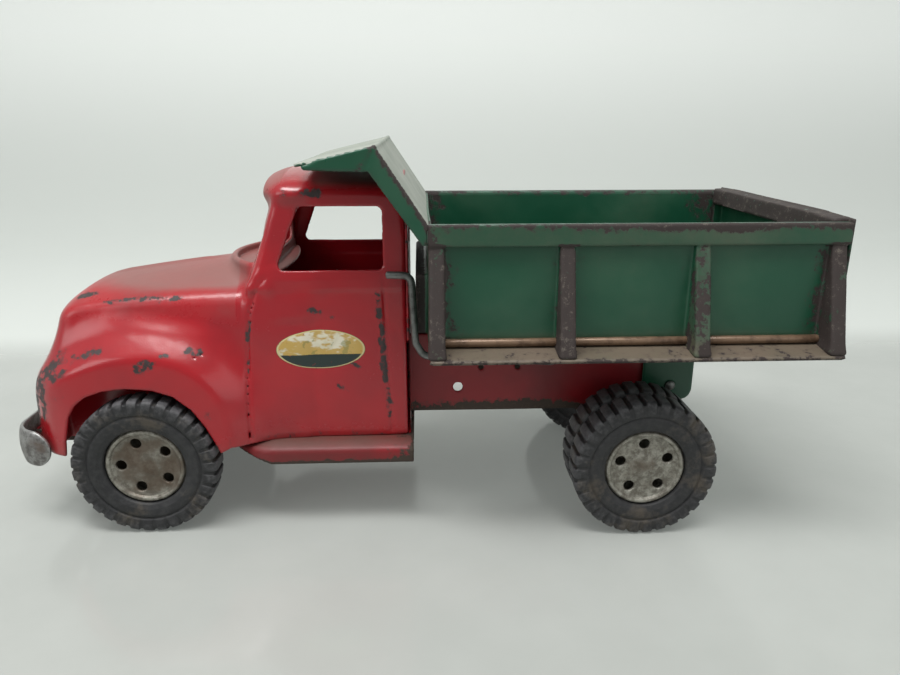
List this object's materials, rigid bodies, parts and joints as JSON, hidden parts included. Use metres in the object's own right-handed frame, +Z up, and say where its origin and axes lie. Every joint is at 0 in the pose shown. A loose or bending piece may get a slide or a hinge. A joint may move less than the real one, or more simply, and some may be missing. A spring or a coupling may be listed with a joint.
{
  "type": "toy dump truck",
  "caption": "Pressed-steel toy dump truck with a rounded cab, tipping bed on a rear hinge, swinging tailgate, hand dump lever and free-rolling rubber-tyred wheels.",
  "frame": {"origin": "middle of the overall box, on the surface the wheels stand on", "axes": "+X towards the tailgate, so the front faces -X; +Y towards the truck's right side; +Z up"},
  "size_m": [0.331, 0.144, 0.1568],
  "materials": {
    "red_paint": "worn gloss enamel",
    "green_paint": "worn gloss enamel with rust",
    "worn_grey_paint": "chalky worn enamel",
    "worn_plate": "dull zinc plate",
    "plated_hub": "dull zinc plate with dirt",
    "bare_steel": "dull",
    "tyre_rubber": "matt, dusty",
    "decal": "aged paper under varnish"
  },
  "bodies": {
    "chassis": {"frame_left_rail": "red_paint", "frame_right_rail": "red_paint", "frame_deck": "red_paint", "bumper_tabs": "red_paint", "cab_shell": "red_paint", "cab_back_panel": "red_paint", "floor_pan": "red_paint", "front_grille": "worn_plate", "front_bumper": "worn_plate", "bumper_rivets": "bare_steel", "front_axle": "bare_steel", "rear_axle": "bare_steel", "front_axle_spacers": "bare_steel", "rear_axle_spacers": "bare_steel", "hinge_pin": "bare_steel", "door_decals": "decal"},
    "front_left_wheel": {"front_left_tyre": "tyre_rubber", "front_left_hub": "plated_hub"},
    "front_right_wheel": {"front_right_tyre": "tyre_rubber", "front_right_hub": "plated_hub"},
    "rear_left_duals": {"rear_left_outer_tyre": "tyre_rubber", "rear_left_inner_tyre": "tyre_rubber", "rear_left_outer_hub": "plated_hub", "rear_left_inner_hub": "plated_hub"},
    "rear_right_duals": {"rear_right_outer_tyre": "tyre_rubber", "rear_right_inner_tyre": "tyre_rubber", "rear_right_outer_hub": "plated_hub", "rear_right_inner_hub": "plated_hub"},
    "dump_bed": {"bed_floor": "green_paint", "bed_left_side": "green_paint", "bed_right_side": "green_paint", "bed_front_wall": "green_paint", "cab_shield": "worn_grey_paint", "bed_hinge_brackets": "green_paint", "tailgate_pins": "bare_steel"},
    "tailgate": {"tailgate": "green_paint"},
    "lever": {"dump_lever": "bare_steel", "lift_arm": "bare_steel", "lever_washer": "bare_steel"}
  },
  "joints": [
    {"name": "bed_tip", "type": "hinge", "parent": "chassis", "child": "dump_bed", "pos_m": [0.114, 0, 0.053], "axis": [0, 1, 0], "range_deg": [0, 45]},
    {"name": "tailgate_swing", "type": "hinge", "parent": "dump_bed", "child": "tailgate", "pos_m": [0.1611, 0, 0.127], "axis": [0, -1, 0], "range_deg": [0, 60]},
    {"name": "lever_turn", "type": "hinge", "parent": "chassis", "child": "lever", "pos_m": [0.06, 0, 0.07], "axis": [0, 1, 0], "range_deg": [-36, 0]},
    {"name": "front_left_spin", "type": "hinge", "parent": "chassis", "child": "front_left_wheel", "pos_m": [-0.109, -0.046, 0.0295], "axis": [0, 1, 0], "continuous": true},
    {"name": "front_right_spin", "type": "hinge", "parent": "chassis", "child": "front_right_wheel", "pos_m": [-0.109, 0.046, 0.0295], "axis": [0, 1, 0], "continuous": true},
    {"name": "rear_left_spin", "type": "hinge", "parent": "chassis", "child": "rear_left_duals", "pos_m": [0.095, -0.049, 0.0295], "axis": [0, 1, 0], "continuous": true},
    {"name": "rear_right_spin", "type": "hinge", "parent": "chassis", "child": "rear_right_duals", "pos_m": [0.095, 0.049, 0.0295], "axis": [0, 1, 0], "continuous": true}
  ],
  "couplings": [
    {"joint": "lever_turn", "follows": "bed_tip", "ratio": -0.8}
  ]
}
